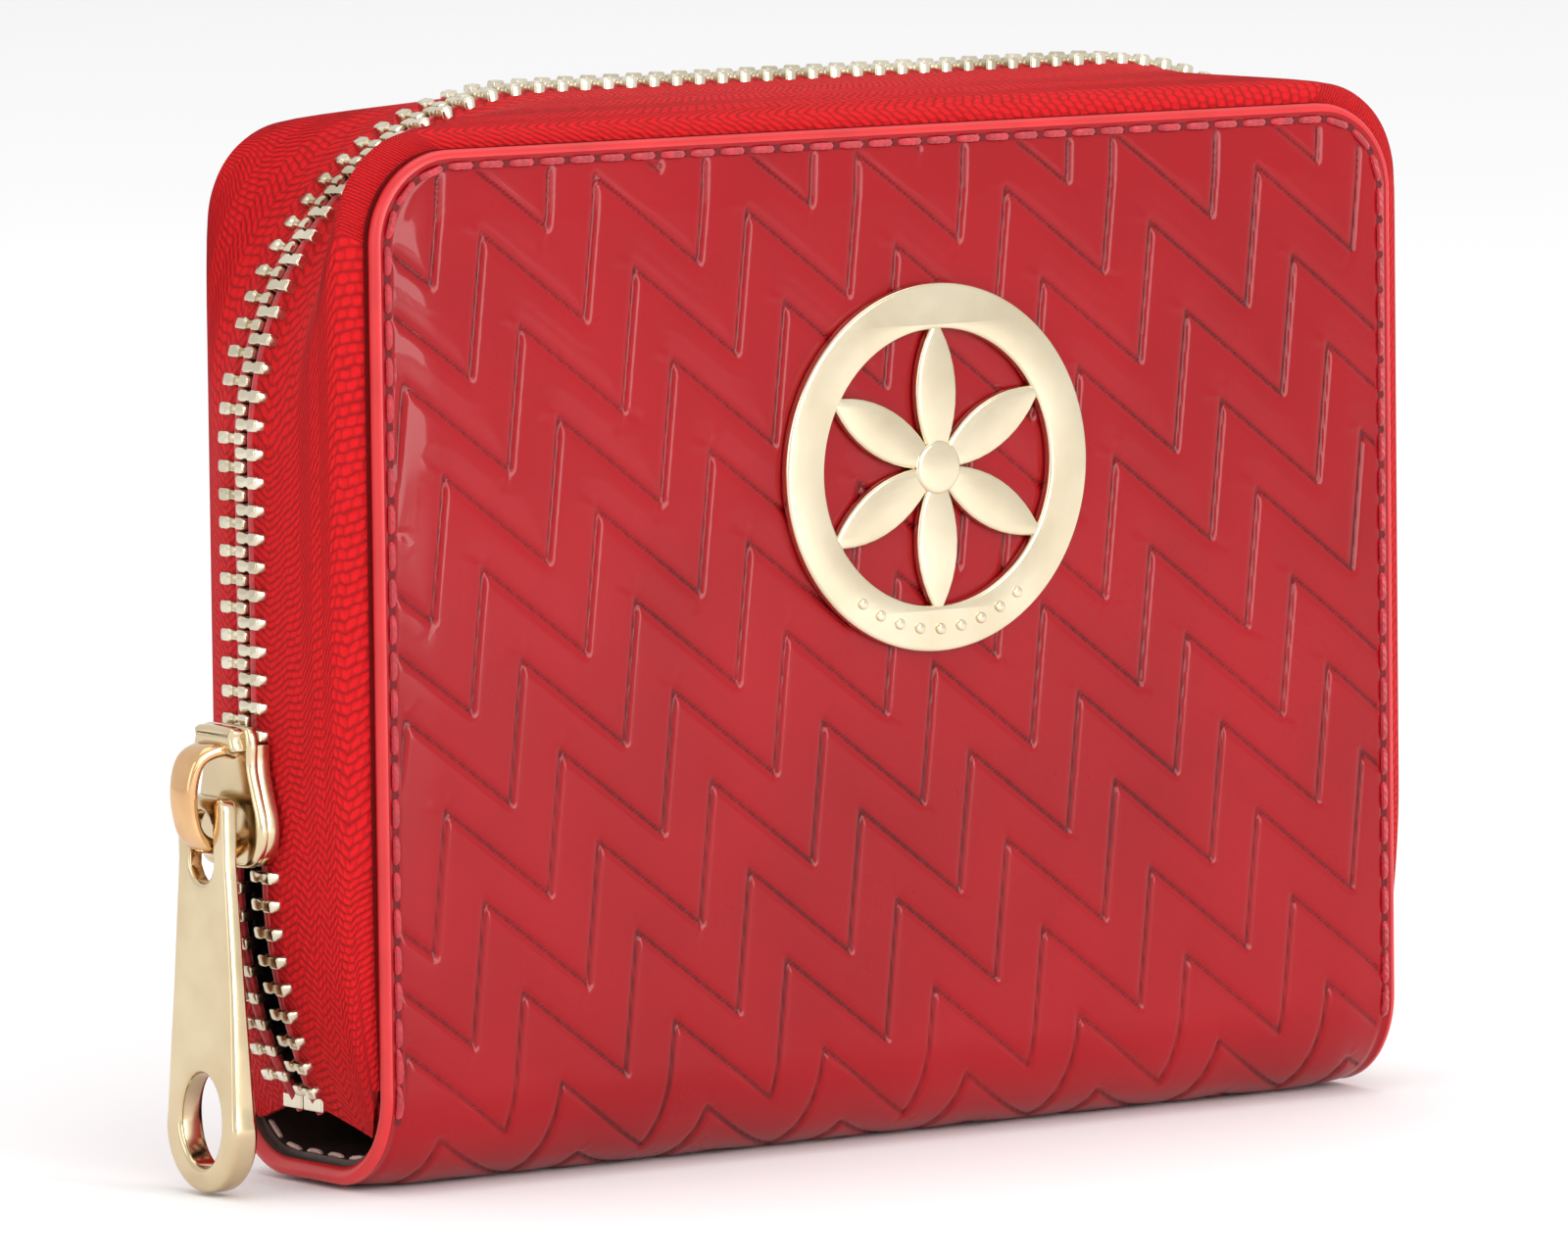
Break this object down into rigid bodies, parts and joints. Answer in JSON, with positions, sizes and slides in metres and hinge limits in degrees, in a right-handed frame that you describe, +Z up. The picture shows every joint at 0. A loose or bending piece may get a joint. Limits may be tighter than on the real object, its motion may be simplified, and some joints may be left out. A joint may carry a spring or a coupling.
{
  "type": "zip around wallet",
  "caption": "Compact zip-around wallet with embossed patent covers, metal zip with pull, card slots, two note compartments and a zipped coin pocket.",
  "frame": {"origin": "middle of the spine's flat underside, where the wallet stands", "axes": "+X to the right seen from the front cover, +Y from the front cover to the back cover, +Z up from the spine to the zipped top edge"},
  "size_m": [0.129, 0.0273, 0.095],
  "materials": {
    "red_patent": "embossed patent, high gloss",
    "red_leather": "smooth, semi-gloss",
    "red_thread": "twisted sewing thread",
    "red_zip_tape": "herringbone twill",
    "zip_metal": "pale gold plated",
    "gold_trim": "polished pale gold plated",
    "plain_steel": "plain",
    "stiffener": "plain",
    "brown_lining": "fine woven lining",
    "brown_zip_tape": "twill"
  },
  "bodies": {
    "back_half": {"back_cover": "red_patent", "spine_cover": "red_patent", "spine_lining": "brown_lining", "back_cover_stitching": "red_thread", "back_board": "stiffener", "back_lining": "brown_lining", "back_zip_tape": "red_zip_tape", "back_zip_teeth": "zip_metal", "back_zip_end_stop": "zip_metal", "zip_retaining_box": "zip_metal", "back_card_slot_upper": "red_leather", "back_card_slot_middle": "red_leather", "back_card_slot_lower": "red_leather"},
    "front_half": {"front_cover": "red_patent", "front_cover_stitching": "red_thread", "front_board": "stiffener", "front_lining": "brown_lining", "front_zip_tape": "red_zip_tape", "front_zip_teeth": "zip_metal", "front_zip_end_stop": "zip_metal", "emblem": "gold_trim", "emblem_backing_plate": "plain_steel", "front_card_slot_upper": "red_leather", "front_card_slot_middle": "red_leather", "front_card_slot_lower": "red_leather"},
    "coin_divider": {"coin_pocket_front_panel": "brown_lining", "coin_pocket_back_panel": "brown_lining", "coin_pocket_edge_strip": "brown_lining", "coin_zip_front_tape": "brown_zip_tape", "coin_zip_back_tape": "brown_zip_tape", "coin_zip_front_teeth": "zip_metal", "coin_zip_back_teeth": "zip_metal", "coin_zip_stops": "zip_metal", "left_front_gusset": "brown_lining", "left_back_gusset": "brown_lining", "right_front_gusset": "brown_lining", "right_back_gusset": "brown_lining"},
    "main_slider": {"zip_slider_body": "gold_trim", "zip_slider_bridge": "gold_trim", "zip_slider_lock_cap": "gold_trim"},
    "main_pull": {"zip_pull": "gold_trim"},
    "coin_slider": {"coin_slider_body": "gold_trim", "coin_slider_bridge": "gold_trim"},
    "coin_pull_tab": {"coin_pull": "gold_trim"}
  },
  "joints": [
    {"name": "wallet_opening", "type": "hinge", "parent": "back_half", "child": "front_half", "pos_m": [0, -0.013, 0.009], "axis": [1, 0, 0], "range_deg": [0, 40], "deforming": ["front_zip_tape", "front_zip_teeth", "back_zip_tape", "back_zip_teeth", "left_front_gusset", "left_back_gusset", "right_front_gusset", "right_back_gusset"]},
    {"name": "coin_divider_swing", "type": "hinge", "parent": "back_half", "child": "coin_divider", "pos_m": [0, 0, 0.005], "axis": [1, 0, 0], "range_deg": [0, 20], "deforming": ["left_front_gusset", "left_back_gusset", "right_front_gusset", "right_back_gusset"]},
    {"name": "zip_slider_travel", "type": "slide", "parent": "back_half", "child": "main_slider", "axis": [0, 0, 1], "range_m": [-0.006, 0.024], "deforming": ["front_zip_tape", "front_zip_teeth", "back_zip_tape", "back_zip_teeth"]},
    {"name": "zip_pull_swing", "type": "hinge", "parent": "main_slider", "child": "main_pull", "pos_m": [-0.0649, 0, 0.0337], "axis": [0, 1, 0], "range_deg": [-2, 120]},
    {"name": "coin_slider_travel", "type": "slide", "parent": "coin_divider", "child": "coin_slider", "axis": [1, 0, 0], "range_m": [0, 0.073], "deforming": ["coin_zip_front_teeth", "coin_zip_back_teeth"]},
    {"name": "coin_pull_swing", "type": "hinge", "parent": "coin_slider", "child": "coin_pull_tab", "pos_m": [-0.036, 0, 0.07685], "axis": [0, -1, 0], "range_deg": [0, 170]}
  ],
  "couplings": [
    {"joint": "coin_divider_swing", "follows": "wallet_opening", "ratio": 0.5}
  ]
}
